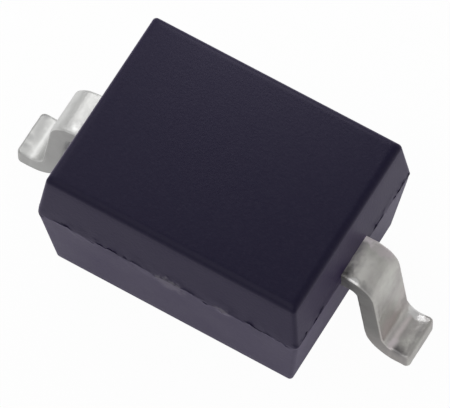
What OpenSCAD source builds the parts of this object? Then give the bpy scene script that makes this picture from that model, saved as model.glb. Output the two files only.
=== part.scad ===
// Zener diode: a moulded two-lead surface-mount package with its lead frame, chip and bond wire.
// Millimetres, +Z up, +X from the cathode lead to the anode lead.
// The origin lies on the seating plane of the feet, under the middle of the body.

/* [Body] */
// Length of the body at the parting line
body_l = 1.70; // [1.50:0.01:2.00]
// Width of the body at the parting line
body_w = 1.29; // [1.10:0.01:1.50]
// Height of the body above the parting line
upper_h = 0.39; // [0.36:0.01:0.60]
// Height of the body below the parting line
lower_h = 0.65; // [0.40:0.01:0.80]
// Draft of the walls above the parting line, in degrees
upper_draft = 6.5; // [2:0.5:12]
// Draft of the walls below the parting line, in degrees
lower_draft = 6.5; // [2:0.5:12]
// Rounding of the top and bottom edges
edge_r = 0.05; // [0.02:0.01:0.10]
// Rounding of the upright corners
corner_r = 0.025; // [0.015:0.005:0.100]
// How far that rounding is set out towards the corner, which leaves a faint edge along each wall
corner_nip = 0.001; // [0.001:0.001:0.003]
// Height of the narrow upright land that the mould leaves at the parting line
land_h = 0.012; // [0.004:0.002:0.030]
// Gap between the seating plane and the underside of the body
standoff = 0.03; // [0.02:0.01:0.15]

/* [Leads] */
// Thickness of the lead strip
lead_t = 0.12; // [0.08:0.01:0.18]
// Width of each lead outside the body
lead_w = 0.30; // [0.20:0.01:0.40]
// Level run of the lead between the body and the knee
shoulder_l = 0.05; // [0.02:0.01:0.15]
// Inside radius of the knee, where the lead turns down
knee_r = 0.05; // [0.02:0.01:0.10]
// Inside radius of the heel, where the lead turns level again
heel_r = 0.09; // [0.02:0.01:0.12]
// Slope of the shank between knee and heel, in degrees from level
shank_angle = 82; // [60:1:86]
// Level length of the foot from the heel to the toe
foot_l = 0.09; // [0.06:0.01:0.30]
// Rounding of the toe's corners, seen from above
toe_r = 0.03; // [0.01:0.01:0.05]

/* [Lead frame inside the body] */
// Length of lead held in the resin before it widens
anchor_l = 0.18; // [0.12:0.01:0.25]
// Length of the paddle under the chip
paddle_l = 0.58; // [0.45:0.01:0.70]
// Width of the paddle under the chip
paddle_w = 0.66; // [0.45:0.01:0.80]
// Length of the bond post
post_l = 0.38; // [0.25:0.01:0.45]
// Width of the bond post
post_w = 0.52; // [0.40:0.01:0.80]
// Rounding of the paddle's and the post's corners
frame_r = 0.05; // [0.02:0.01:0.10]

/* [Chip and bond] */
// Side of the square chip
die_w = 0.32; // [0.22:0.01:0.38]
// Thickness of the chip
die_t = 0.11; // [0.08:0.01:0.14]
// Diameter of the chip's top contact
contact_d = 0.20; // [0.12:0.01:0.22]
// Height of the chip's top contact
contact_t = 0.010; // [0.005:0.001:0.015]
// Thickness of the conductive layer under the chip
attach_t = 0.020; // [0.010:0.001:0.030]
// How far that layer spreads past the chip
attach_margin = 0.030; // [0.010:0.005:0.050]
// Diameter of the bond wire
wire_d = 0.030; // [0.018:0.001:0.040]
// Diameter of the ball at the chip's end of the wire
ball_d = 0.085; // [0.060:0.005:0.110]
// Height of the flattened ball
ball_h = 0.035; // [0.025:0.001:0.045]
// Straight rise of the wire above the ball
wire_rise = 0.045; // [0.020:0.005:0.060]
// How far the wire swells where it kinks over at the top of its rise
kink_swell = 0.003; // [0.002:0.001:0.006]
// Diameter of the flattened stitch on the bond post
stitch_d = 0.080; // [0.060:0.005:0.120]
// Thickness of the stitch
stitch_t = 0.012; // [0.008:0.001:0.020]

/* [Hidden] */

// Facets of a drawn curve
$fn = 64;

// Levels above the seating plane
parting_z = standoff + lower_h;
frame_top = parting_z + lead_t / 2;
attach_top = frame_top + attach_t;
die_top = attach_top + die_t;
contact_top = die_top + contact_t;

// Gull wing, worked out along the middle of the strip
knee_mid_r = knee_r + lead_t / 2;
heel_mid_r = heel_r + lead_t / 2;
bend_drop = (knee_mid_r + heel_mid_r) * (1 - cos(shank_angle));
shank_l = (parting_z - lead_t / 2 - bend_drop) / sin(shank_angle);

// Places along the lead frame
end_x = body_l / 2;
neck_x = end_x - anchor_l;
die_x = -neck_x + paddle_l / 2;
stitch_x = neck_x - post_l / 2;

// Wire: up from the ball to the kink, then straight down to the stitch
kink_z = contact_top + ball_h + wire_rise;
span_x = stitch_x - die_x;
span_z = kink_z - frame_top;
fall_angle = atan2(span_z, span_x);
fall_l = norm([span_x, span_z]);

// Distance from the body's middle to the centre of the rounding between a drafted wall and its flat face
function edge_centre(size, height, draft) =
    size / 2 - (height - edge_r - land_h / 2) * tan(draft) - edge_r / cos(draft);

// One half of a wall's section above the parting line, from the land to the flat face
function wall_points(size, height, draft) = [
    [size / 2, land_h / 2],
    [edge_centre(size, height, draft) + edge_r * cos(draft), height - edge_r * (1 - sin(draft))],
    [edge_centre(size, height, draft), height]
];

// The same list mirrored about the upright axis, or about the parting line
function flip_x(points) = [for (p = points) [-p[0], p[1]]];
function flip_y(points) = [for (p = points) [p[0], -p[1]]];
function backwards(points) = [for (i = [len(points) - 1:-1:0]) points[i]];

// Lean of the edge where two drafted walls meet, and half of the angle between those walls
function corner_lean(draft) = atan(sqrt(2) * tan(draft));
function corner_half_angle(draft) = 90 - acos(pow(sin(draft), 2)) / 2;

// Section of the body across a pair of walls, with the parting line at y = 0
module wall_section(size) {
    upper = wall_points(size, upper_h, upper_draft);
    lower = flip_y(wall_points(size, lower_h, lower_draft));
    right = concat(backwards(lower), upper);
    polygon(concat(right, flip_x(backwards(right))));
    for (side = [-1, 1]) {
        translate([side * edge_centre(size, upper_h, upper_draft), upper_h - edge_r])
            circle(r = edge_r);
        translate([side * edge_centre(size, lower_h, lower_draft), edge_r - lower_h])
            circle(r = edge_r);
    }
}

// Waste outside one rounded upright corner above the parting line, along the leaning edge of two drafted walls
module corner_waste(height, draft) {
    half_angle = corner_half_angle(draft);
    axis_x = corner_nip - corner_r / sin(half_angle);
    reach = 4 * height;
    intersection() {
        translate([-reach / 2, -reach / 2, 0])
            cube(reach);
        translate([0, 0, land_h / 2])
            rotate([0, -corner_lean(draft), 45])
                linear_extrude(reach, center = true)
                    difference() {
                        translate([axis_x * pow(cos(half_angle), 2), -reach / 4])
                            square(reach / 2);
                        translate([axis_x, 0])
                            circle(r = corner_r);
                    }
    }
}

// The same waste at the four corners
module corner_wastes(height, draft) {
    for (side_x = [0, 1], side_y = [0, 1])
        mirror([side_x, 0, 0])
            mirror([0, side_y, 0])
                translate([body_l / 2, body_w / 2, 0])
                    corner_waste(height, draft);
}

// The moulding as it would be with nothing inside
module body_block() {
    translate([0, 0, parting_z])
        difference() {
            intersection() {
                rotate([90, 0, 0])
                    linear_extrude(body_w + body_l, center = true)
                        wall_section(body_l);
                rotate([90, 0, 90])
                    linear_extrude(body_w + body_l, center = true)
                        wall_section(body_w);
            }
            corner_wastes(upper_h, upper_draft);
            mirror([0, 0, 1])
                corner_wastes(lower_h, lower_draft);
        }
}

// Flat outline with rounded corners, from x = 0 to x = length and centred across it
module rounded_plate(length, width, radius) {
    translate([radius, -width / 2])
        square([length - 2 * radius, width]);
    translate([0, radius - width / 2])
        square([length, width - 2 * radius]);
    for (x = [radius, length - radius], y = [radius - width / 2, width / 2 - radius])
        translate([x, y])
            circle(r = radius);
}

// Foot outline: square at the heel, rounded at the toe
module foot_outline() {
    translate([0, -lead_w / 2])
        square([foot_l - toe_r, lead_w]);
    translate([0, toe_r - lead_w / 2])
        square([foot_l, lead_w - 2 * toe_r]);
    for (y = [toe_r - lead_w / 2, lead_w / 2 - toe_r])
        translate([foot_l - toe_r, y])
            circle(r = toe_r);
}

// A straight stretch of strip along X, with its children at its end
module strip(length) {
    translate([0, -lead_t / 2, -lead_w / 2])
        cube([length, lead_t, lead_w]);
    translate([length, 0, 0])
        children();
}

// A bend of the strip, upwards for a positive angle, with its children at its end
module bend(inner_r, angle) {
    turn = sign(angle);
    mid_r = inner_r + lead_t / 2;
    translate([0, turn * mid_r, 0]) {
        rotate(turn > 0 ? -90 : 90 + angle)
            rotate_extrude(angle = abs(angle))
                translate([inner_r, -lead_w / 2])
                    square([lead_t, lead_w]);
        rotate(angle)
            translate([0, -turn * mid_r, 0])
                children();
    }
}

// The lead from the widened frame to the toe, on the +X side of the body
module gull_wing() {
    translate([neck_x, 0, parting_z])
        rotate([90, 0, 0])
            strip(anchor_l + shoulder_l)
                bend(knee_r, -shank_angle)
                    strip(shank_l)
                        bend(heel_r, shank_angle)
                            rotate([90, 0, 0])
                                linear_extrude(lead_t, center = true)
                                    foot_outline();
}

// The widened end of a lead inside the resin, inwards from the anchored length on the +X side
module frame_plate(length, width) {
    translate([neck_x - length, 0, parting_z])
        linear_extrude(lead_t, center = true)
            rounded_plate(length, width, frame_r);
}

// The flattened ball on the chip's contact, with the wire's rise out of it
module wire_ball() {
    translate([die_x, 0, contact_top])
        rotate_extrude() {
            intersection() {
                translate([0, ball_h / 2])
                    circle(d = ball_d);
                square([ball_d, ball_h]);
            }
            square([wire_d / 2, ball_h + wire_rise]);
        }
}

// The swollen kink at the top of the rise
module wire_kink() {
    translate([die_x, 0, kink_z])
        sphere(d = wire_d + 2 * kink_swell);
}

// The wire's straight fall, cut level with the top of the bond post
module wire_fall() {
    intersection() {
        translate([stitch_x, 0, frame_top])
            rotate([0, fall_angle - 90, 0])
                translate([0, 0, -wire_d])
                    cylinder(d = wire_d, h = fall_l + wire_d);
        translate([die_x - wire_d, -wire_d, frame_top])
            cube([span_x + 3 * wire_d, 2 * wire_d, span_z + wire_d]);
    }
}

// The flattened end of the wire, pressed on to the bond post
module wire_stitch() {
    translate([stitch_x, 0, frame_top])
        cylinder(d = stitch_d, h = stitch_t);
}

// The moulding closes on every face of the pieces that it holds
module moulded_body() {
    color("#2b2a35")
        difference() {
            body_block();
            cathode_lead();
            anode_lead();
            die_attach();
            zener_die();
            bond_wire();
        }
}

module cathode_lead() {
    color("#c9cac8")
        mirror([1, 0, 0]) {
            gull_wing();
            frame_plate(paddle_l, paddle_w);
        }
}

module anode_lead() {
    color("#b3b2ae") {
        gull_wing();
        frame_plate(post_l, post_w);
    }
}

module die_attach() {
    color("#8f9094")
        translate([die_x - die_w / 2 - attach_margin, 0, frame_top])
            linear_extrude(attach_t)
                rounded_plate(die_w + 2 * attach_margin, die_w + 2 * attach_margin, attach_margin);
}

module zener_die() {
    color("#5d6470") {
        translate([die_x - die_w / 2, -die_w / 2, attach_top])
            cube([die_w, die_w, die_t]);
        translate([die_x, 0, die_top])
            cylinder(d = contact_d, h = contact_t);
    }
}

module bond_wire() {
    color("#d9b45a") {
        union() {
            wire_ball();
            wire_kink();
        }
        union() {
            wire_fall();
            wire_stitch();
        }
    }
}

moulded_body();
cathode_lead();
anode_lead();
zener_die();
die_attach();
bond_wire();
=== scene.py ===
"""Looks of a small moulded zener diode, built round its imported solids.

The resin moulding and its two plated leads are modelled again, with rounded edges, smooth bends and a ragged
parting line. The chip, its attach layer and the bond wire keep their solids and get finishes of their own.
Pieces are modelled at one unit to the millimetre and brought down to metres when they are done.
"""

import logging
import math
from collections.abc import Callable, Iterator
from contextlib import contextmanager
from dataclasses import dataclass, field
from enum import Enum

import bmesh
import bpy
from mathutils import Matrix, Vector


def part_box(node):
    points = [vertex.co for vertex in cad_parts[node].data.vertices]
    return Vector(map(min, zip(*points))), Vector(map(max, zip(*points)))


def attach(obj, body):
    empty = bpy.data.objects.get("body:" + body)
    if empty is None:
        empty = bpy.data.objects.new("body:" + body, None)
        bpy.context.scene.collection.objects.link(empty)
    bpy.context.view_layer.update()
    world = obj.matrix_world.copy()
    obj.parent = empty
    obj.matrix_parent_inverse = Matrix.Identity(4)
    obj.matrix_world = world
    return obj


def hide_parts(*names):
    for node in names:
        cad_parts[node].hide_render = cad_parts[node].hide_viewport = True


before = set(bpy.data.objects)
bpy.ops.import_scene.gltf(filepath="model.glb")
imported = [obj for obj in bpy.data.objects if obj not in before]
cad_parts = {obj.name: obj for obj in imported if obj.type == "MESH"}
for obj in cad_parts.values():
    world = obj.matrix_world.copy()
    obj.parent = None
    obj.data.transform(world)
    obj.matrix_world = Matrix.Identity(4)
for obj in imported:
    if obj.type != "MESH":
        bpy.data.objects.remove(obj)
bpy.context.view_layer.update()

LOG = logging.getLogger("zener_diode")
MM = 0.001
ROOT_BODY = "root"

Colour = tuple[float, float, float]
Span = tuple[float, float]
PlaceTest = Callable[[Vector, Vector], bool]
WHITE: Colour = (1.0, 1.0, 1.0)


def opaque(colour: Colour) -> tuple[float, float, float, float]:
    """Adds a full alpha to a colour."""
    return (*colour, 1.0)


def bearing(azimuth: float, elevation: float) -> Vector:
    """Works out a direction away from the object.

    Args:
        azimuth: Degrees from the front, towards +X.
        elevation: Degrees above the floor.

    Returns:
        The direction, one unit long.
    """
    turn, tilt = math.radians(azimuth), math.radians(elevation)
    return Vector((math.sin(turn) * math.cos(tilt), -math.cos(turn) * math.cos(tilt), math.sin(tilt)))


class LeadEnd(Enum):
    """The two leads, each with the side of the body that it leaves."""

    CATHODE = -1
    ANODE = 1


class Bench:
    """Modelling by hand with Blender's operators, at one unit to the millimetre."""

    SAME_PLACE = 1e-4
    WELD = 1e-5
    CLOUD_LAYERS = 2

    @staticmethod
    def clear() -> None:
        """Deselects every object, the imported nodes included."""
        bpy.ops.object.select_all(action="DESELECT")

    @staticmethod
    def take(piece: bpy.types.Object) -> None:
        """Makes one object the only selected one and the active one.

        Args:
            piece: The object to work on.
        """
        Bench.clear()
        piece.select_set(True)
        bpy.context.view_layer.objects.active = piece

    @staticmethod
    @contextmanager
    def editing(piece: bpy.types.Object) -> Iterator[None]:
        """Opens an object in edit mode with nothing selected, and closes it again.

        Args:
            piece: The object to edit.

        Returns:
            A context in which the mesh operators act on the piece.
        """
        Bench.take(piece)
        bpy.ops.object.mode_set(mode="EDIT")
        bpy.ops.mesh.select_all(action="DESELECT")
        yield
        bpy.ops.object.mode_set(mode="OBJECT")

    @staticmethod
    def pick_faces(piece: bpy.types.Object, test: PlaceTest) -> None:
        """Selects faces in edit mode.

        Args:
            piece: The object that is open in edit mode.
            test: Says of a face's centre and normal whether it is wanted.
        """
        bpy.ops.mesh.select_mode(type="FACE")
        bpy.ops.mesh.select_all(action="DESELECT")
        shape = bmesh.from_edit_mesh(piece.data)
        for face in shape.faces:
            face.select_set(test(face.calc_center_median(), face.normal))
        bmesh.update_edit_mesh(piece.data)

    @staticmethod
    def pick_edges(piece: bpy.types.Object, test: PlaceTest) -> None:
        """Selects edges in edit mode.

        Args:
            piece: The object that is open in edit mode.
            test: Says of an edge's two ends whether it is wanted.
        """
        bpy.ops.mesh.select_mode(type="EDGE")
        bpy.ops.mesh.select_all(action="DESELECT")
        shape = bmesh.from_edit_mesh(piece.data)
        for edge in shape.edges:
            edge.select_set(test(edge.verts[0].co, edge.verts[1].co))
        bmesh.update_edit_mesh(piece.data)

    @staticmethod
    def same(first: float, second: float) -> bool:
        """Says whether two places agree within the bench's tolerance."""
        return abs(first - second) < Bench.SAME_PLACE

    @staticmethod
    def extrude(move: tuple[float, float, float]) -> None:
        """Extrudes what is selected by a move."""
        bpy.ops.mesh.extrude_region_move(TRANSFORM_OT_translate={"value": move})

    @staticmethod
    def close_up(piece: bpy.types.Object) -> None:
        """Merges doubled points and turns every face outwards.

        Args:
            piece: The object to close.
        """
        with Bench.editing(piece):
            bpy.ops.mesh.select_all(action="SELECT")
            bpy.ops.mesh.remove_doubles(threshold=Bench.WELD)
            bpy.ops.mesh.normals_make_consistent(inside=False)

    @staticmethod
    def clean_cuts(piece: bpy.types.Object) -> None:
        """Welds the points that cuts leave doubled and removes those that lie on a plain edge.

        Args:
            piece: The object that was cut.
        """
        with Bench.editing(piece):
            bpy.ops.mesh.select_mode(type="VERT")
            bpy.ops.mesh.select_all(action="SELECT")
            bpy.ops.mesh.remove_doubles(threshold=Bench.SAME_PLACE)
            bpy.ops.mesh.dissolve_degenerate(threshold=Bench.SAME_PLACE)
            bpy.ops.mesh.select_all(action="DESELECT")
            shape = bmesh.from_edit_mesh(piece.data)
            for vertex in shape.verts:
                vertex.select_set(len(vertex.link_edges) == 2)
            bmesh.update_edit_mesh(piece.data)
            bpy.ops.mesh.dissolve_verts()

    @staticmethod
    def weigh(piece: bpy.types.Object, group: str, weight: Callable[[Vector], float]) -> None:
        """Paints a vertex group by place.

        Args:
            piece: The object that gets the group.
            group: The group's name.
            weight: Gives the weight of a point from its place.
        """
        painted = piece.vertex_groups.new(name=group)
        for vertex in piece.data.vertices:
            share = weight(vertex.co)
            if share > 0:
                painted.add([vertex.index], min(share, 1.0), "REPLACE")

    @staticmethod
    def modify(piece: bpy.types.Object, kind: str, **settings: object) -> None:
        """Adds one modifier with its settings and applies it.

        Args:
            piece: The object that is changed.
            kind: The modifier's type.
            settings: The modifier's own settings by name.
        """
        Bench.take(piece)
        bpy.ops.object.modifier_add(type=kind)
        modifier = piece.modifiers[-1]
        for name, value in settings.items():
            setattr(modifier, name, value)
        bpy.ops.object.modifier_apply(modifier=modifier.name)

    @staticmethod
    def roughen(
        piece: bpy.types.Object,
        group: str,
        grain: float,
        depth: float,
        along: str = "NORMAL",
        rest: float = 0.5,
    ) -> None:
        """Pushes a painted group of points in and out by a cloud pattern.

        Args:
            piece: The object that is changed.
            group: The vertex group that moves.
            grain: The pattern's size.
            depth: The whole range of the push.
            along: The direction, as the Displace modifier names it.
            rest: The value of the pattern, from 0 to 1, that leaves a point where it is.
        """
        clouds = bpy.data.textures.new(f"{piece.name}_{group}_{along}", "CLOUDS")
        clouds.noise_scale = grain
        clouds.noise_depth = Bench.CLOUD_LAYERS
        Bench.modify(
            piece, "DISPLACE", texture=clouds, texture_coords="LOCAL", direction=along,
            vertex_group=group, strength=depth, mid_level=rest,
        )

    @staticmethod
    def to_metres(piece: bpy.types.Object) -> None:
        """Brings a finished piece from bench units to metres, with its place in its mesh.

        Args:
            piece: The finished piece.
        """
        Bench.take(piece)
        bpy.ops.transform.resize(value=(MM, MM, MM), center_override=(0, 0, 0))
        bpy.ops.object.transform_apply(location=True, rotation=True, scale=True)

    @staticmethod
    def smooth(piece: bpy.types.Object, crease: float) -> None:
        """Shades a piece smooth up to a crease angle in degrees."""
        Bench.take(piece)
        bpy.ops.object.shade_smooth_by_angle(angle=math.radians(crease))


class Signal:
    """A shader value that takes part in arithmetic, where each operation adds a Math node."""

    def __init__(self, graph: "ShaderGraph", socket: bpy.types.NodeSocket) -> None:
        """Wraps an output socket of a graph."""
        self.graph = graph
        self.socket = socket

    def _math(self, operation: str, first: "Operand", second: "Operand" = 0.0) -> "Signal":
        """Adds one Math node.

        Args:
            operation: The Math node's operation.
            first: Its first value.
            second: Its second value.

        Returns:
            The node's result.
        """
        return self.graph.node("ShaderNodeMath", {"operation": operation}, {0: first, 1: second})

    def __add__(self, other: "Operand") -> "Signal":
        """Adds a value."""
        return self._math("ADD", self, other)

    __radd__ = __add__

    def __sub__(self, other: "Operand") -> "Signal":
        """Takes a value away."""
        return self._math("SUBTRACT", self, other)

    def __rsub__(self, other: "Operand") -> "Signal":
        """Is taken away from a value."""
        return self._math("SUBTRACT", other, self)

    def __mul__(self, other: "Operand") -> "Signal":
        """Multiplies by a value."""
        return self._math("MULTIPLY", self, other)

    __rmul__ = __mul__

    def __abs__(self) -> "Signal":
        """Drops the sign."""
        return self._math("ABSOLUTE", self)

    def ramp(self, low: float, high: float) -> "Signal":
        """Eases from 0 at one value to 1 at another.

        Args:
            low: The value that gives 0.
            high: The value that gives 1.

        Returns:
            The eased share.
        """
        return self.graph.node(
            "ShaderNodeMapRange", {"interpolation_type": "SMOOTHSTEP"},
            {"Value": self, "From Min": low, "From Max": high},
        )

    def swing(self) -> "Signal":
        """How far a pattern from 0 to 1 stands from its middle."""
        return self - 0.5


Operand = Signal | float


class ShaderGraph:
    """The nodes of one material or world."""

    FINE = 3.0

    def __init__(self, tree: bpy.types.NodeTree) -> None:
        """Empties a node tree and takes it over."""
        self.tree = tree
        tree.nodes.clear()

    @staticmethod
    def _find(sockets: bpy.types.bpy_prop_collection, key: int | str) -> bpy.types.NodeSocket:
        """Finds a socket of a node.

        Args:
            sockets: The node's inputs or its outputs.
            key: The socket's number, identifier or name.

        Returns:
            The first socket that fits.
        """
        if isinstance(key, int):
            return sockets[key]
        return next(s for s in sockets if key in (s.identifier, s.name))

    def node(
        self,
        kind: str,
        settings: dict[str, object] | None = None,
        inputs: dict[int | str, object] | None = None,
        output: int | str = 0,
    ) -> Signal:
        """Adds a node of any type.

        Args:
            kind: The node's type.
            settings: Its own settings by name, which are set first.
            inputs: Values or signals by socket number, identifier or name.
            output: The socket that the signal leaves by.

        Returns:
            The chosen output, or the first input of a node that ends the graph and has none.
        """
        made = self.tree.nodes.new(kind)
        for name, value in (settings or {}).items():
            setattr(made, name, value)
        for key, value in (inputs or {}).items():
            socket = self._find(made.inputs, key)
            if isinstance(value, Signal):
                self.tree.links.new(value.socket, socket)
            else:
                socket.default_value = value
        return Signal(self, self._find(made.outputs, output) if len(made.outputs) else made.inputs[0])

    def place(self) -> Signal:
        """The surface point in the object's own frame, in millimetres."""
        point = self.node("ShaderNodeTexCoord", output="Object")
        return self.node("ShaderNodeVectorMath", {"operation": "SCALE"}, {0: point, "Scale": 1 / MM})

    def part(self, vector: Signal, axis: str) -> Signal:
        """The part of a vector along one axis."""
        return self.node("ShaderNodeSeparateXYZ", inputs={0: vector}, output=axis)

    def grain(self, point: Signal, size: float, detail: float = 2.0) -> Signal:
        """A cloudy pattern from 0 to 1.

        Args:
            point: The place to read it at.
            size: The size of its patches.
            detail: How many finer layers it holds.

        Returns:
            The pattern's value.
        """
        return self.node("ShaderNodeTexNoise", inputs={"Vector": point, "Scale": 1 / size, "Detail": detail})

    def blend(self, share: Operand, first: Colour | Signal, second: Colour | Signal) -> Signal:
        """Mixes two colours.

        Args:
            share: How much of the second colour shows.
            first: The colour at 0.
            second: The colour at 1.

        Returns:
            The mixed colour.
        """
        colours = [c if isinstance(c, Signal) else opaque(c) for c in (first, second)]
        return self.node(
            "ShaderNodeMix", {"data_type": "RGBA"},
            {"Factor_Float": share, "A_Color": colours[0], "B_Color": colours[1]}, "Result_Color",
        )

    def bump(self, relief: Signal, depth: float) -> Signal:
        """Turns a relief into a shading normal.

        Args:
            relief: The height pattern.
            depth: The height of its full range in metres.

        Returns:
            The bent normal.
        """
        return self.node("ShaderNodeBump", inputs={"Height": relief, "Distance": depth, "Strength": 1.0})

    def surface(self, **inputs: object) -> None:
        """Ends the graph in a Principled shader.

        Args:
            inputs: Values or signals by the name of the socket, where _ stands for a space.
        """
        named = {name.replace("_", " "): value for name, value in inputs.items()}
        shader = self.node("ShaderNodeBsdfPrincipled", inputs=named)
        self.node("ShaderNodeOutputMaterial", inputs={"Surface": shader})


@dataclass(frozen=True)
class Patch:
    """An oval patch of a surface, by its middle and its reach along each axis in millimetres.

    Its core is the share of the reach within which a painted patch is full, before it fades to its rim.
    """

    middle: tuple[float, float, float]
    reach: tuple[float, float, float]
    core: float = 0.55

    def share(self, point: Vector) -> float:
        """How deep a point lies in the patch, from 0 at its rim to 1 at its middle."""
        away = Vector([(p - m) / r for p, m, r in zip(point, self.middle, self.reach)])
        return max(0.0, 1 - away.length)

    def mask(self, graph: ShaderGraph, point: Signal, wander: Signal) -> Signal:
        """The same share in a shader, with an uneven rim.

        Args:
            graph: The material's graph.
            point: The surface point in millimetres.
            wander: A pattern round 0 that moves the rim.

        Returns:
            1 inside the patch and 0 outside it.
        """
        offset = graph.node("ShaderNodeVectorMath", {"operation": "SUBTRACT"}, {0: point, 1: self.middle})
        scaled = graph.node("ShaderNodeVectorMath", {"operation": "DIVIDE"}, {0: offset, 1: self.reach})
        away = graph.node("ShaderNodeVectorMath", {"operation": "LENGTH"}, {0: scaled}, "Value")
        return 1 - (away + wander).ramp(self.core, 1.0)


class Finish:
    """A material made of nodes."""

    name = "finish"

    def paint(self, graph: ShaderGraph) -> None:
        """Adds the finish's nodes to an empty graph."""
        raise NotImplementedError

    def apply(self, piece: bpy.types.Object) -> None:
        """Makes the material and gives it to every slot of a piece.

        Args:
            piece: The piece that gets the finish.
        """
        material = bpy.data.materials.new(self.name)
        material.use_nodes = True
        self.paint(ShaderGraph(material.node_tree))
        if not piece.material_slots:
            piece.data.materials.append(material)
        for slot in piece.material_slots:
            slot.material = material


@dataclass(frozen=True)
class MouldedResin(Finish):
    """Navy-black filled epoxy with a fine eroded grain, a scuffed parting line and a few chips beside it.

    Sizes are in millimetres and the relief is in metres. A span is the range of a pattern over which a
    colour sets in, and a share is how far that colour covers what lies under it.
    """

    seam_height: float
    chips: tuple[Patch, ...]
    name: str = "moulded_resin"
    base: Colour = (0.0052, 0.0045, 0.0185)
    filler: Colour = (0.0085, 0.0076, 0.0225)
    scuff: Colour = (0.0300, 0.0280, 0.0360)
    fracture: Colour = (0.1500, 0.1450, 0.1580)
    gloss_tint: Colour = (0.87, 0.80, 1.00)
    gloss: float = 0.27
    bloom_tint: Colour = (0.52, 0.30, 1.00)
    bloom: float = 0.140
    seam_half: float = 0.010
    patch_size: float = 0.30
    speck_size: float = 0.022
    erosion_size: float = 0.014
    wander_size: float = 0.05
    filler_span: Span = (0.46, 0.72)
    filler_share: float = 0.8
    scuff_span: Span = (0.40, 0.62)
    scuff_share: float = 0.6
    fracture_share: float = 0.8
    rim_wander: float = 1.2
    rim_specks: float = 0.8
    roughness: float = 0.40
    patch_roughness: float = 0.10
    speck_roughness: float = 0.08
    scuff_roughness: float = 0.1
    fracture_roughness: float = 0.15
    relief: float = 0.0000008
    speck_relief: float = 0.6

    def paint(self, graph: ShaderGraph) -> None:
        """Adds filler specks, uneven gloss, an eroded grain, the parting line's scuffs and the pale chips.

        Args:
            graph: The material's empty graph.
        """
        point = graph.place()
        patches = graph.grain(point, self.patch_size)
        specks = graph.grain(point, self.speck_size, graph.FINE)
        erosion = graph.grain(point, self.erosion_size)
        wander = graph.grain(point, self.wander_size).swing()
        from_seam = abs(graph.part(point, "Z") - self.seam_height + wander * (2 * self.seam_half))
        seam = (1 - from_seam.ramp(0.0, self.seam_half)) * specks.ramp(*self.scuff_span)
        resin = graph.blend(specks.ramp(*self.filler_span) * self.filler_share, self.base, self.filler)
        colour = graph.blend(seam * self.scuff_share, resin, self.scuff)
        roughness = (
            self.roughness
            + patches.swing() * self.patch_roughness
            + specks.swing() * self.speck_roughness
            + seam * self.scuff_roughness
        )
        for chip in self.chips:
            rim = wander * self.rim_wander + specks.swing() * self.rim_specks
            broken = chip.mask(graph, point, rim)
            colour = graph.blend(broken * self.fracture_share, colour, self.fracture)
            roughness = roughness + broken * self.fracture_roughness
        graph.surface(
            Base_Color=colour,
            Roughness=roughness,
            Normal=graph.bump(erosion + specks * self.speck_relief, self.relief),
            Specular_IOR_Level=self.gloss,
            Specular_Tint=opaque(self.gloss_tint),
            Sheen_Weight=self.bloom,
            Sheen_Tint=opaque(self.bloom_tint),
        )


@dataclass(frozen=True)
class ToolMarkOrPaintedLight:
    """A band across the strip by its distance from the body's middle in millimetres: a mark of the bending
    tool, a painted highlight or painted shade.
    """

    distance: float
    half_width: float
    colour: Colour
    strength: float


@dataclass(frozen=True)
class StainOrPaintedLight:
    """A patch of another colour on the plate, being a stained patch, a painted glint or a painted shadow, or
    with less metal a pale fleck that lies on it and paints a highlight.
    """

    patch: Patch
    colour: Colour
    strength: float
    metal: float = 1.0


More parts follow.
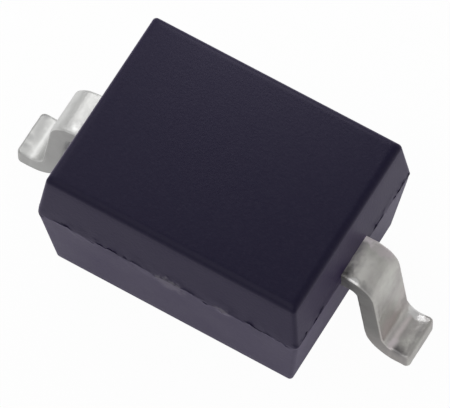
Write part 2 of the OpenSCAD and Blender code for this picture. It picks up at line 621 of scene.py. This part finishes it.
@dataclass(frozen=True)
class TinPlate(Finish):
    """Matte tin plate with soft mottling, stained patches and marks of the bending tool, and painted light:
    cut sides painted darker, partly as painted shade, and paler low down as a painted reflection of the
    floor, painted glints and shadows, and bands of painted highlight and shade across the bends.

    Sizes are in millimetres and the relief is in metres. Spans and shares are as in the resin.
    """

    pale: Colour
    dull: Colour
    # The cut sides' colour, partly their own face and partly painted shade
    sheared_and_shaded: Colour
    marks: tuple[ToolMarkOrPaintedLight, ...]
    stains_and_painted_light: tuple[StainOrPaintedLight, ...] = ()
    name: str = "tin_plate"
    patch_size: float = 0.14
    blotch_size: float = 0.045
    crystal_size: float = 0.020
    patch_span: Span = (0.34, 0.68)
    patch_share: float = 0.7
    blotch_span: Span = (0.36, 0.66)
    blotch_share: float = 0.3
    mark_span: Span = (0.30, 0.58)
    wander: float = 0.02
    rim_patches: float = 1.6
    rim_blotches: float = 1.2
    side_span: Span = (0.70, 0.97)
    sheared_and_shaded_share: float = 0.85
    # How high and how strongly the sides are painted paler, as a reflection of the floor
    painted_floor_reflection_height: float = 0.34
    painted_floor_reflection_share: float = 0.8
    roughness: float = 0.34
    patch_roughness: float = 0.16
    crystal_roughness: float = 0.06
    side_roughness: float = 0.10
    relief: float = 0.0000020
    crystal_relief: float = 0.3
    blotch_relief: float = 0.8
    patch_relief: float = 2.5

    def paint(self, graph: ShaderGraph) -> None:
        """Adds pale and dull patches, uneven gloss, bands of tool marks and painted light, stained patches
        with painted glints and shadows, and cut sides painted darker with a painted floor reflection.

        Args:
            graph: The material's empty graph.
        """
        point = graph.place()
        patches = graph.grain(point, self.patch_size, graph.FINE)
        blotches = graph.grain(point, self.blotch_size)
        crystals = graph.grain(point, self.crystal_size)
        facing = graph.node("ShaderNodeTexCoord", output="Normal")
        # The sides facing along Y, which are painted darker, partly as painted shade
        side = abs(graph.part(facing, "Y")).ramp(*self.side_span)
        along = abs(graph.part(point, "X"))
        uneven = along + patches.swing() * self.wander
        mottling = (
            patches.ramp(*self.patch_span) * self.patch_share
            + blotches.ramp(*self.blotch_span) * self.blotch_share
        )
        colour = graph.blend(mottling, self.pale, self.dull)
        # Bands across the strip: tool marks, and painted highlight and painted shade over the bends.
        for mark in self.marks:
            share = 1 - abs(uneven - mark.distance).ramp(0.0, mark.half_width)
            share = share * patches.ramp(*self.mark_span) * mark.strength
            colour = graph.blend(share, colour, mark.colour)
        metallic: Operand = 1.0
        # Stained patches, painted glints and painted shadows; a pale fleck with less metal paints a
        # highlight.
        for stain_or_light in self.stains_and_painted_light:
            rim = patches.swing() * self.rim_patches + blotches.swing() * self.rim_blotches
            share = stain_or_light.patch.mask(graph, point, rim) * stain_or_light.strength
            colour = graph.blend(share, colour, stain_or_light.colour)
            if stain_or_light.metal < 1:
                metallic = metallic - share * (1 - stain_or_light.metal)
        # Paler low on the sides, as a painted reflection of the floor
        painted_floor_reflection = 1 - graph.part(point, "Z").ramp(0.0, self.painted_floor_reflection_height)
        edge = graph.blend(painted_floor_reflection * self.painted_floor_reflection_share, self.sheared_and_shaded, self.dull)
        roughness = (
            self.roughness
            + patches.swing() * self.patch_roughness
            + crystals.swing() * self.crystal_roughness
            + side * self.side_roughness
        )
        relief = (
            crystals * self.crystal_relief + blotches * self.blotch_relief + patches * self.patch_relief
        )
        graph.surface(
            Base_Color=graph.blend(side * self.sheared_and_shaded_share, colour, edge),
            Metallic=metallic,
            Roughness=roughness,
            Normal=graph.bump(relief, self.relief),
        )


class Plating(Enum):
    """The tin on the two leads, one bright and clean and the other duller and more marked, the first partly
    painted paler as if lit and the second partly painted darker as if shaded.
    """

    # Paler tin, partly painted as the lit lead
    BRIGHT = TinPlate(
        pale=(0.77, 0.77, 0.755), dull=(0.64, 0.64, 0.63), sheared_and_shaded=(0.45, 0.445, 0.44),
        marks=(
            # Paler band over the knee
            ToolMarkOrPaintedLight(1.030, 0.060, (0.92, 0.92, 0.91), 0.8),
            # Painted shade across the foot
            ToolMarkOrPaintedLight(1.262, 0.075, (0.46, 0.46, 0.455), 0.85),
            # Painted highlight on the foot next to the heel
            ToolMarkOrPaintedLight(1.206, 0.018, (0.82, 0.82, 0.81), 0.9),
        ),
        stains_and_painted_light=(
            # Glint on the near edge of the shoulder
            StainOrPaintedLight(Patch((-0.918, -0.110, 0.740), (0.065, 0.060, 0.060), 0.35), (1.000, 1.000, 0.990), 0.95),
            # Grey near side of the foot
            StainOrPaintedLight(Patch((-1.262, -0.115, 0.120), (0.050, 0.060, 0.060), 0.20), (0.460, 0.460, 0.455), 0.80),
            # Three dark spots along the toe
            StainOrPaintedLight(Patch((-1.280, -0.030, 0.120), (0.030, 0.030, 0.060), 0.05), (0.380, 0.380, 0.380), 0.60),
            StainOrPaintedLight(Patch((-1.278, -0.088, 0.120), (0.028, 0.026, 0.060), 0.05), (0.380, 0.380, 0.380), 0.60),
            StainOrPaintedLight(Patch((-1.276, 0.128, 0.120), (0.036, 0.030, 0.060), 0.05), (0.380, 0.380, 0.380), 0.65),
        ),
        roughness=0.42,
    )
    # Darker tin, partly painted as the shaded lead
    DULL = TinPlate(
        pale=(0.70, 0.695, 0.655), dull=(0.56, 0.530, 0.520), sheared_and_shaded=(0.24, 0.235, 0.23),
        marks=(
            # Paler band over the shoulder
            ToolMarkOrPaintedLight(0.940, 0.085, (1.00, 0.985, 0.94), 0.9),
            # Pale line by the resin
            ToolMarkOrPaintedLight(0.880, 0.040, (1.00, 0.980, 0.92), 0.9),
            # Dull line down in the heel
            ToolMarkOrPaintedLight(1.118, 0.034, (0.82, 0.75, 0.73), 0.6),
            # Painted highlight in the bend where the foot starts
            ToolMarkOrPaintedLight(1.176, 0.024, (0.98, 0.90, 0.89), 0.9),
            # Dark line along the toe
            ToolMarkOrPaintedLight(1.270, 0.020, (0.36, 0.35, 0.35), 0.6),
        ),
        stains_and_painted_light=(
            # Dark near edge of the knee
            StainOrPaintedLight(Patch((0.985, -0.145, 0.710), (0.120, 0.060, 0.110), 0.15), (0.340, 0.330, 0.335), 0.60),
            # Dull far side of the heel
            StainOrPaintedLight(Patch((1.118, 0.120, 0.220), (0.060, 0.080, 0.120), 0.15), (0.430, 0.395, 0.390), 0.65),
            # Painted shadow of the resin wall on the near corner
            StainOrPaintedLight(Patch((0.850, -0.160, 0.740), (0.075, 0.130, 0.060), 0.15), (0.030, 0.027, 0.030), 0.85),
            # Dark near edge of the foot
            StainOrPaintedLight(Patch((1.220, -0.135, 0.120), (0.065, 0.060, 0.060), 0.15), (0.150, 0.140, 0.150), 0.80),
            # Glint on the far side of the foot
            StainOrPaintedLight(Patch((1.208, 0.125, 0.120), (0.100, 0.050, 0.060), 0.45), (1.000, 0.990, 0.985), 0.95),
            # Glint on the near edge of the shoulder
            StainOrPaintedLight(Patch((0.925, -0.138, 0.735), (0.045, 0.026, 0.050), 0.30), (1.000, 0.990, 0.980), 0.90),
            # Mauve far side of the knee
            StainOrPaintedLight(Patch((0.985, 0.125, 0.715), (0.090, 0.050, 0.100), 0.20), (0.840, 0.750, 0.790), 0.60),
            # Painted highlight on the far edge of the shoulder, made as a pale fleck with no metal
            StainOrPaintedLight(
                Patch((0.864, 0.146, 0.738), (0.062, 0.042, 0.070), 0.38),
                (1.000, 0.930, 0.945), 1.00, metal=0.0,
            ),
            # Glint on the near side of the heel
            StainOrPaintedLight(Patch((1.172, -0.105, 0.130), (0.036, 0.060, 0.050), 0.30), (1.000, 0.910, 0.940), 0.70),
        ),
    )


@dataclass(frozen=True)
class PolishedSilicon(Finish):
    """Dark polished silicon with a faint lapped grain."""

    name: str = "polished_silicon"
    base: Colour = (0.085, 0.100, 0.125)
    tint: Colour = (0.130, 0.150, 0.190)
    band_size: float = 0.12
    lapping_size: float = 0.008
    metal: float = 0.6
    roughness: float = 0.18
    lapping_roughness: float = 0.12
    relief: float = 0.0000004

    def paint(self, graph: ShaderGraph) -> None:
        """Adds faint bands of tint and a fine lapped grain.

        Args:
            graph: The material's empty graph.
        """
        point = graph.place()
        lapping = graph.grain(point, self.lapping_size)
        graph.surface(
            Base_Color=graph.blend(graph.grain(point, self.band_size), self.base, self.tint),
            Metallic=self.metal,
            Roughness=self.roughness + lapping * self.lapping_roughness,
            Normal=graph.bump(lapping, self.relief),
        )


@dataclass(frozen=True)
class FilledLayer(Finish):
    """Dull layer of silver flakes in resin."""

    name: str = "silver_filled_layer"
    base: Colour = (0.22, 0.22, 0.24)
    flake: Colour = (0.46, 0.46, 0.48)
    flake_size: float = 0.010
    flake_span: Span = (0.45, 0.65)
    metal: float = 0.7
    roughness: float = 0.62
    flake_gloss: float = 0.2
    relief: float = 0.0000012

    def paint(self, graph: ShaderGraph) -> None:
        """Adds pale flakes and their relief.

        Args:
            graph: The material's empty graph.
        """
        point = graph.place()
        flakes = graph.grain(point, self.flake_size, graph.FINE)
        graph.surface(
            Base_Color=graph.blend(flakes.ramp(*self.flake_span), self.base, self.flake),
            Metallic=self.metal,
            Roughness=self.roughness - flakes * self.flake_gloss,
            Normal=graph.bump(flakes, self.relief),
        )


@dataclass(frozen=True)
class DrawnWire(Finish):
    """Bright drawn wire metal."""

    name: str = "drawn_wire"
    base: Colour = (0.69, 0.46, 0.10)
    worn: Colour = (0.78, 0.57, 0.22)
    mark_size: float = 0.006
    roughness: float = 0.20
    mark_roughness: float = 0.16
    relief: float = 0.0000003

    def paint(self, graph: ShaderGraph) -> None:
        """Adds faint draw marks and uneven gloss.

        Args:
            graph: The material's empty graph.
        """
        point = graph.place()
        marks = graph.grain(point, self.mark_size)
        graph.surface(
            Base_Color=graph.blend(marks, self.base, self.worn),
            Metallic=1.0,
            Roughness=self.roughness + marks * self.mark_roughness,
            Normal=graph.bump(marks, self.relief),
        )


@dataclass
class GullWingLead:
    """One stamped and plated lead: a plate inside the resin and a gull-wing foot outside it.

    Lengths are in millimetres and angles in degrees. The lead is modelled on the anode's side and turned
    round for the cathode.
    """

    end: LeadEnd
    plating: Plating
    plate_length: float
    plate_width: float
    thickness: float = 0.12
    width: float = 0.30
    anchor: float = 0.18
    shoulder: float = 0.05
    knee_radius: float = 0.05
    heel_radius: float = 0.09
    shank_angle: float = 82.0
    toe_radius: float = 0.03
    plate_radius: float = 0.05
    plate_taper: float = 0.02
    edge_radius: float = 0.017
    dent: Patch | None = None
    dent_depth: float = 0.0125
    cells: tuple[int, int] = (3, 8)
    bend_steps: int = 10
    shank_steps: int = 8
    straight_steps: int = 2
    corner_segments: int = 5
    edge_segments: int = 3
    sharp_angle: float = 50.0
    refinement: int = 2
    mottle_grain: float = 0.055
    mottle_depth: float = 0.003
    crease: float = 40.0
    node: str = field(init=False)
    exit_x: float = field(init=False)
    toe_x: float = field(init=False)
    top: float = field(init=False)

    def __post_init__(self) -> None:
        """Takes the places of the exit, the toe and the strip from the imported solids."""
        self.node = f"{self.end.name.lower()}_lead"
        lead_low, lead_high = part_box(self.node)
        self.exit_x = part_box("moulded_body")[1].x / MM
        self.toe_x = max(abs(lead_low.x), abs(lead_high.x)) / MM
        self.top = lead_high.z / MM

    def build(self) -> bpy.types.Object:
        """Models the lead.

        Returns:
            The finished lead, in bench units.
        """
        piece = self._start_section()
        self._sweep_outside(piece)
        self._widen_inside(piece)
        self._round_edges(piece)
        self._mottle(piece)
        if self.end is LeadEnd.CATHODE:
            Bench.take(piece)
            bpy.ops.transform.rotate(value=math.pi, orient_axis="Z", center_override=(0, 0, 0))
            bpy.ops.object.transform_apply(location=True, rotation=True, scale=True)
        return piece

    def _start_section(self) -> bpy.types.Object:
        """Sets up the strip's section where it leaves the plate, facing out of the body.

        Returns:
            The section, as a flat grid of cells.
        """
        Bench.clear()
        bpy.ops.mesh.primitive_grid_add(
            x_subdivisions=self.cells[0], y_subdivisions=self.cells[1], size=1, rotation=(0, math.pi / 2, 0),
            location=(self.exit_x - self.anchor, 0, self.top - self.thickness / 2),
        )
        piece = bpy.context.object
        piece.name = f"{self.end.name.lower()}_gull_wing"
        bpy.ops.object.transform_apply(location=False, rotation=True, scale=True)
        bpy.ops.transform.resize(value=(1, self.width, self.thickness))
        bpy.ops.object.transform_apply(location=True, rotation=True, scale=True)
        return piece

    def _advance(self, move: Vector, steps: int) -> None:
        """Extrudes the end of the strip along a straight run, in equal steps."""
        for _ in range(steps):
            Bench.extrude(tuple(move / steps))

    def _sweep_outside(self, piece: bpy.types.Object) -> None:
        """Runs the strip out of the body, over the knee, down the shank, round the heel and along the foot.

        Args:
            piece: The strip's section.
        """
        angle = math.radians(self.shank_angle)
        middle = self.top - self.thickness / 2
        knee = self.knee_radius + self.thickness / 2
        heel = self.heel_radius + self.thickness / 2
        down = Vector((math.cos(angle), 0, -math.sin(angle)))
        across = Vector((math.sin(angle), 0, math.cos(angle)))
        fall = middle - self.thickness / 2 - (knee + heel) * (1 - math.cos(angle))
        shank = down * (fall / math.sin(angle))
        knee_start = Vector((self.exit_x + self.shoulder, 0, middle))
        knee_end = knee_start + Vector((knee * math.sin(angle), 0, -knee * (1 - math.cos(angle))))
        heel_centre = knee_end + shank + across * heel
        foot = Vector((self.toe_x - heel_centre.x, 0, 0))
        with Bench.editing(piece):
            bpy.ops.mesh.select_mode(type="FACE")
            bpy.ops.mesh.select_all(action="SELECT")
            self._advance(Vector((self.anchor, 0, 0)), 1)
            self._advance(Vector((self.shoulder, 0, 0)), self.straight_steps)
            bpy.ops.mesh.spin(
                steps=self.bend_steps, angle=-angle, axis=(0, 1, 0),
                center=knee_start - Vector((0, 0, knee)),
            )
            self._advance(shank, self.shank_steps)
            bpy.ops.mesh.spin(steps=self.bend_steps, angle=angle, axis=(0, 1, 0), center=heel_centre)
            self._advance(foot, self.straight_steps)

    def _widen_inside(self, piece: bpy.types.Object) -> None:
        """Widens the inner end into the plate that lies in the resin.

        Args:
            piece: The lead so far.
        """
        neck = self.exit_x - self.anchor
        widen = self.plate_width / self.width
        with Bench.editing(piece):
            Bench.pick_faces(piece, lambda centre, _: Bench.same(centre.x, neck))
            Bench.extrude((-self.plate_taper, 0, 0))
            bpy.ops.transform.resize(value=(1, widen, 1), center_override=(neck, 0, self.top))
            Bench.extrude((self.plate_taper - self.plate_length, 0, 0))
        Bench.close_up(piece)

    def _round_edges(self, piece: bpy.types.Object) -> None:
        """Rounds the plate's corners and the toe's as seen from above, then every stamped edge.

        Args:
            piece: The lead so far.
        """

        def upright(a: Vector, b: Vector) -> bool:
            """Says whether an edge stands upright."""
            return Bench.same(a.x, b.x) and Bench.same(a.y, b.y)

        def at_plate(a: Vector, b: Vector) -> bool:
            """Says whether an edge is a corner of the plate."""
            return upright(a, b) and Bench.same(abs(a.y), self.plate_width / 2)

        def at_toe(a: Vector, b: Vector) -> bool:
            """Says whether an edge is a corner of the toe."""
            return upright(a, b) and Bench.same(abs(a.y), self.width / 2) and Bench.same(a.x, self.toe_x)

        with Bench.editing(piece):
            for corner, radius in ((at_plate, self.plate_radius), (at_toe, self.toe_radius)):
                Bench.pick_edges(piece, corner)
                bpy.ops.mesh.bevel(offset=radius, segments=self.corner_segments, affect="EDGES")
            bpy.ops.mesh.select_all(action="DESELECT")
            bpy.ops.mesh.edges_select_sharp(sharpness=math.radians(self.sharp_angle))
            bpy.ops.mesh.bevel(offset=self.edge_radius, segments=self.edge_segments, affect="EDGES")
        Bench.close_up(piece)

    def _mottle(self, piece: bpy.types.Object) -> None:
        """Refines the lead and gives it the soft unevenness of plate laid on by dipping, and its dent where
        it has one.

        Args:
            piece: The lead so far.
        """
        Bench.modify(
            piece, "SUBSURF", subdivision_type="SIMPLE",
            levels=self.refinement, render_levels=self.refinement,
        )
        Bench.weigh(
            piece, "outside",
            lambda point: min((point.x - self.exit_x) / self.shoulder, point.z / self.edge_radius),
        )
        Bench.roughen(piece, "outside", self.mottle_grain, self.mottle_depth)
        if self.dent:
            Bench.weigh(piece, "dent", self.dent.share)
            Bench.modify(
                piece, "DISPLACE", direction="Z", vertex_group="dent",
                strength=-self.dent_depth, mid_level=0.0,
            )

    def dress(self, piece: bpy.types.Object) -> None:
        """Plates the lead and sets it in the frame in place of its solid.

        Args:
            piece: The finished lead, in bench units.
        """
        Bench.to_metres(piece)
        Bench.smooth(piece, self.crease)
        self.plating.value.apply(piece)
        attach(piece, ROOT_BODY)
        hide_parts(self.node)
        LOG.info("%s stands for %s", piece.name, self.node)


@dataclass
class MouldedBody:
    """The resin moulding: two drafted halves that meet at a ragged parting line.

    Lengths are in millimetres and angles in degrees.
    """

    parting: float
    draft: float = 6.5
    edge_radius: float = 0.05
    corner_radius: float = 0.025
    land: float = 0.012
    mesh_step: float = 0.014
    corner_steps: int = 5
    edge_steps: int = 8
    wall_steps: int = 12
    wall_grading: float = 1.7
    rim: float = 0.012
    lip_grain: float = 0.055
    lip_reach: float = 0.022
    lip_rest: float = 0.45
    lip_fall_up: float = 0.85
    lip_fall_down: float = 0.45
    lip_wave: float = 0.090
    lip_blend: float = 0.090
    chips: tuple[Patch, ...] = (
        Patch((0.015, -0.640, 0.640), (0.120, 0.045, 0.090)),
        Patch((0.365, -0.640, 0.660), (0.065, 0.040, 0.050)),
    )
    chip_grain: float = 0.018
    chip_swell: float = 0.020
    chip_rest: float = 0.35
    crease: float = 30.0
    node: str = "moulded_body"
    length: float = field(init=False)
    width: float = field(init=False)
    upper: float = field(init=False)
    lower: float = field(init=False)

    def __post_init__(self) -> None:
        """Takes the moulding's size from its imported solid."""
        low, high = (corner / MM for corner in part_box(self.node))
        self.length = high.x - low.x
        self.width = high.y - low.y
        self.upper = high.z - self.parting
        self.lower = self.parting - low.z

    def build(self, held: list[bpy.types.Object]) -> bpy.types.Object:
        """Models the moulding.

        Args:
            held: The new pieces that the resin closes on, in bench units.

        Returns:
            The finished moulding, in bench units.
        """
        piece = self._parting_outline()
        self._raise_half(piece, self.upper, 1)
        self._raise_half(piece, self.lower, -1)
        Bench.close_up(piece)
        self._rag_seam(piece)
        self._close_on(piece, held)
        return piece

    def _parting_outline(self) -> bpy.types.Object:
        """Draws the rounded outline at the parting line.

        Returns:
            The outline, as a ring of short edges.
        """
        Bench.clear()
        bpy.ops.mesh.primitive_plane_add(size=1, location=(0, 0, self.parting))
        piece = bpy.context.object
        piece.name = "resin_moulding"
        bpy.ops.transform.resize(value=(self.length, self.width, 1))
        bpy.ops.object.transform_apply(location=True, rotation=True, scale=True)
        with Bench.editing(piece):
            bpy.ops.mesh.select_all(action="SELECT")
            bpy.ops.mesh.bevel(offset=self.corner_radius, segments=self.corner_steps, affect="VERTICES")
            bpy.ops.mesh.delete(type="ONLY_FACE")
            for axis, span in ((0, self.length), (1, self.width)):
                side = span - 2 * self.corner_radius
                Bench.pick_edges(piece, lambda a, b: Bench.same(abs(a[axis] - b[axis]), side))
                bpy.ops.mesh.subdivide(number_cuts=round(side / self.mesh_step) - 1)
        return piece

    def _levels(self, height: float) -> list[tuple[float, float]]:
        """Works out the rings of one half, from its land to the rim of its flat face.

        Args:
            height: The half's height from the parting line.

        Returns:
            Each ring's height above the parting line and how far it stands in from the outline.
        """
        draft = math.radians(self.draft)
        lean = math.tan(draft)
        wall_start = self.land / 2
        round_start = height - self.edge_radius * (1 - math.sin(draft))
        centre_in = (height - self.edge_radius - wall_start) * lean + self.edge_radius / math.cos(draft)
        rings = [(wall_start, 0.0)]
        for step in range(1, self.wall_steps + 1):
            share = (step / self.wall_steps) ** self.wall_grading
            rise = wall_start + (round_start - wall_start) * share
            rings.append((rise, (rise - wall_start) * lean))
        for step in range(1, self.edge_steps + 1):
            turn = draft + (math.pi / 2 - draft) * step / self.edge_steps
            rise = height - self.edge_radius * (1 - math.sin(turn))
            rings.append((rise, centre_in - self.edge_radius * math.cos(turn)))
        return [*rings, (height, centre_in + self.rim)]

    def _raise_half(self, piece: bpy.types.Object, height: float, side: int) -> None:
        """Extrudes the outline into one half and closes its flat face.

        Args:
            piece: The moulding so far.
            height: The half's height.
            side: 1 above the parting line and -1 below it.
        """
        rise_before, inset_before = 0.0, 0.0
        with Bench.editing(piece):
            Bench.pick_edges(
                piece, lambda a, b: Bench.same(a.z, self.parting) and Bench.same(b.z, self.parting),
            )
            for rise, inset in self._levels(height):
                Bench.extrude((0, 0, side * (rise - rise_before)))
                spans = (self.length, self.width)
                scale = [(span - 2 * inset) / (span - 2 * inset_before) for span in spans]
                bpy.ops.transform.resize(
                    value=(*scale, 1), center_override=(0, 0, self.parting + side * rise),
                )
                rise_before, inset_before = rise, inset
            bpy.ops.mesh.edge_face_add()

    def _rag_seam(self, piece: bpy.types.Object) -> None:
        """Leaves a ragged lip of trimmed flash along the parting line, and chips where some broke off.

        Args:
            piece: The moulding so far.
        """

        def on_land(point: Vector) -> float:
            """Gives 1 on the land and 0 elsewhere."""
            return float(abs(point.z - self.parting) < self.land / 2 + Bench.SAME_PLACE)

        def on_lip(point: Vector) -> float:
            """Gives a share that falls towards the land's upper and lower edges."""
            fall = self.lip_fall_up if point.z > self.parting else self.lip_fall_down
            return on_land(point) * (1 - fall * (abs(point.z - self.parting) / (self.land / 2)))

        def near_land(point: Vector) -> float:
            """Gives a share that fades away from the land, up and down the walls."""
            return 1 - max(0.0, abs(point.z - self.parting) - self.land / 2) / self.lip_blend

        Bench.weigh(piece, "lip", on_lip)
        Bench.weigh(piece, "land", near_land)
        Bench.weigh(piece, "chips", lambda point: max(chip.share(point) for chip in self.chips))
        Bench.roughen(piece, "lip", self.lip_grain, self.lip_reach, rest=self.lip_rest)
        Bench.roughen(piece, "land", self.lip_grain, self.lip_wave, "Z")
        Bench.roughen(piece, "chips", self.chip_grain, self.chip_swell, rest=self.chip_rest)

    def _close_on(self, piece: bpy.types.Object, held: list[bpy.types.Object]) -> None:
        """Cuts the room of each held piece out of the resin.

        Args:
            piece: The moulding.
            held: The new pieces that it closes on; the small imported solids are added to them.
        """
        copies = [self._bench_copy(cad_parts[name]) for name in ChipStack.FINISHES]
        for cutter in [*held, *copies]:
            Bench.modify(piece, "BOOLEAN", operation="DIFFERENCE", solver="EXACT", object=cutter)
        for copy in copies:
            bpy.data.objects.remove(copy)
        Bench.clean_cuts(piece)

    @staticmethod
    def _bench_copy(solid: bpy.types.Object) -> bpy.types.Object:
        """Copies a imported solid.

        Args:
            solid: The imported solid, which stays as it is.

        Returns:
            The copy, in bench units and with its triangles joined.
        """
        copy = bpy.data.objects.new(f"{solid.name}_cutter", solid.data.copy())
        bpy.context.scene.collection.objects.link(copy)
        Bench.take(copy)
        bpy.ops.transform.resize(value=(1 / MM, 1 / MM, 1 / MM), center_override=(0, 0, 0))
        bpy.ops.object.transform_apply(location=True, rotation=True, scale=True)
        Bench.close_up(copy)
        return copy

    def dress(self, piece: bpy.types.Object) -> None:
        """Gives the moulding its resin and sets it in the frame in place of its solid.

        Args:
            piece: The finished moulding, in bench units.
        """
        Bench.to_metres(piece)
        Bench.smooth(piece, self.crease)
        MouldedResin(self.parting, self.chips).apply(piece)
        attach(piece, ROOT_BODY)
        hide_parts(self.node)
        LOG.info("%s stands for %s", piece.name, self.node)


class ChipStack:
    """The chip, its attach layer and the bond wire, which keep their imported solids."""

    FINISHES = {"zener_die": PolishedSilicon(), "die_attach": FilledLayer(), "bond_wire": DrawnWire()}

    def dress(self) -> None:
        """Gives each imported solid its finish."""
        for name, finish in self.FINISHES.items():
            finish.apply(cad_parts[name])
            LOG.info("%s keeps its solid, in %s", name, finish.name)


@dataclass
class SoftBox:
    """One square studio light, aimed at the object. Lengths are in millimetres and angles in degrees."""

    name: str
    azimuth: float
    elevation: float
    distance: float
    size: float
    level: float

    def build(self, target: Vector) -> None:
        """Sets up the light.

        Args:
            target: The point that it faces, in metres.
        """
        away = bearing(self.azimuth, self.elevation)
        Bench.clear()
        bpy.ops.object.light_add(type="AREA", location=target + away * self.distance * MM)
        lamp = bpy.context.object
        lamp.name = self.name
        lamp.rotation_euler = away.to_track_quat("Z", "Y").to_euler()
        lamp.data.size = self.size * MM
        lamp.data.energy = self.level * math.pi**2 * (self.distance * MM) ** 2
        lamp.visible_camera = False
        LOG.info("light %s", self.name)


@dataclass
class Studio:
    """Floor, light and camera. Lengths are in millimetres and angles in degrees."""

    floor_radius: float = 400.0
    floor_drop: float = 0.002
    floor_sides: int = 96
    floor_colour: Colour = (0.88, 0.88, 0.88)
    floor_seen_white: float = 0.97
    floor_mirrored_white: float = 0.25
    horizon_level: float = 0.50
    zenith_level: float = 0.37
    cove_span: Span = (0.15, 0.75)
    azimuth: float = 30.43
    elevation: float = 64.20
    distance: float = 40.0
    pixels_per_mm: float = 176.93
    shift_right: float = 0.0048
    shift_up: float = -0.0695
    image_width: int = 450
    sensor: float = 36.0
    lamps: tuple[SoftBox, ...] = (
        SoftBox("front_key", 0, 55, 16, 18, 0.27),
        SoftBox("left_softbox", -112, 45, 5.5, 4.0, 0.16),
        SoftBox("back_box", 197, 42, 3.0, 1.7, 0.22),
    )

    def build(self, target: Vector) -> None:
        """Sets up everything round the object.

        Args:
            target: The middle of the parting line, in metres.
        """
        bpy.context.scene.view_settings.view_transform = "Standard"
        self._floor()
        self._world()
        for lamp in self.lamps:
            lamp.build(target)
        self._camera(target)

    def _floor(self) -> None:
        """Lays a pale floor that reads as white and keeps a light shadow."""
        Bench.clear()
        bpy.ops.mesh.primitive_circle_add(
            vertices=self.floor_sides, radius=self.floor_radius * MM, fill_type="NGON",
            location=(0, 0, -self.floor_drop * MM),
        )
        floor = bpy.context.object
        floor.name = "studio_floor"
        material = bpy.data.materials.new("studio_floor")
        material.use_nodes = True
        graph = ShaderGraph(material.node_tree)
        seen = graph.node("ShaderNodeLightPath", output="Is Camera Ray")
        mirrored = graph.node("ShaderNodeLightPath", output="Is Glossy Ray")
        through = graph.node("ShaderNodeLightPath", output="Is Transmission Ray")
        paint = graph.node("ShaderNodeBsdfDiffuse", inputs={"Color": opaque(self.floor_colour)})
        glow = graph.node("ShaderNodeEmission", inputs={"Color": opaque(WHITE), "Strength": 1.0})
        share = seen * self.floor_seen_white + (mirrored + through) * self.floor_mirrored_white
        mixed = graph.node("ShaderNodeMixShader", inputs={0: share, 1: paint, 2: glow})
        graph.node("ShaderNodeOutputMaterial", inputs={"Surface": mixed})
        floor.data.materials.append(material)

    def _world(self) -> None:
        """Surrounds the object with a pale cove that darkens towards the ceiling and reads as white."""
        world = bpy.data.worlds.new("studio_cove")
        world.use_nodes = True
        bpy.context.scene.world = world
        graph = ShaderGraph(world.node_tree)
        upward = graph.part(graph.node("ShaderNodeTexCoord", output="Generated"), "Z")
        level = upward.ramp(*self.cove_span) * (self.zenith_level - self.horizon_level) + self.horizon_level
        white = opaque(WHITE)
        seen = graph.node("ShaderNodeLightPath", output="Is Camera Ray")
        light = graph.node("ShaderNodeBackground", inputs={"Color": white, "Strength": level})
        backdrop = graph.node("ShaderNodeBackground", inputs={"Color": white, "Strength": 1.0})
        mixed = graph.node("ShaderNodeMixShader", inputs={0: seen, 1: light, 2: backdrop})
        graph.node("ShaderNodeOutputWorld", inputs={"Surface": mixed})

    def _camera(self, target: Vector) -> None:
        """Places a long-lens camera at the photograph's viewing angle.

        Args:
            target: The middle of the parting line, in metres.
        """
        turn = math.radians(self.azimuth)
        back = bearing(self.azimuth, self.elevation)
        right = Vector((math.cos(turn), math.sin(turn), 0))
        up = back.cross(right)
        offset = back * self.distance + right * self.shift_right + up * self.shift_up
        Bench.clear()
        bpy.ops.object.camera_add(location=target + offset * MM)
        camera = bpy.context.object
        camera.rotation_euler = back.to_track_quat("Z", "Y").to_euler()
        camera.data.sensor_width = self.sensor
        camera.data.lens = self.pixels_per_mm * self.distance * self.sensor / self.image_width
        camera.data.clip_start = MM
        camera.data.clip_end = 2 * self.floor_radius * MM
        bpy.context.scene.camera = camera


def main() -> None:
    """Builds the leads, the moulding and the chip, then the studio round them."""
    logging.basicConfig(level=logging.INFO, format="%(message)s")
    cathode = GullWingLead(LeadEnd.CATHODE, Plating.BRIGHT, plate_length=0.58, plate_width=0.66)
    anode = GullWingLead(
        LeadEnd.ANODE, Plating.DULL, plate_length=0.38, plate_width=0.52,
        dent=Patch((1.206, 0.152, 0.12), (0.095, 0.060, 0.060)),
    )
    body = MouldedBody(parting=anode.top - anode.thickness / 2)
    lead_pieces = [lead.build() for lead in (cathode, anode)]
    moulding = body.build(lead_pieces)
    for lead, piece in zip((cathode, anode), lead_pieces):
        lead.dress(piece)
    body.dress(moulding)
    ChipStack().dress()
    Studio().build(Vector((0, 0, body.parting * MM)))


if __name__ == "__main__":
    main()
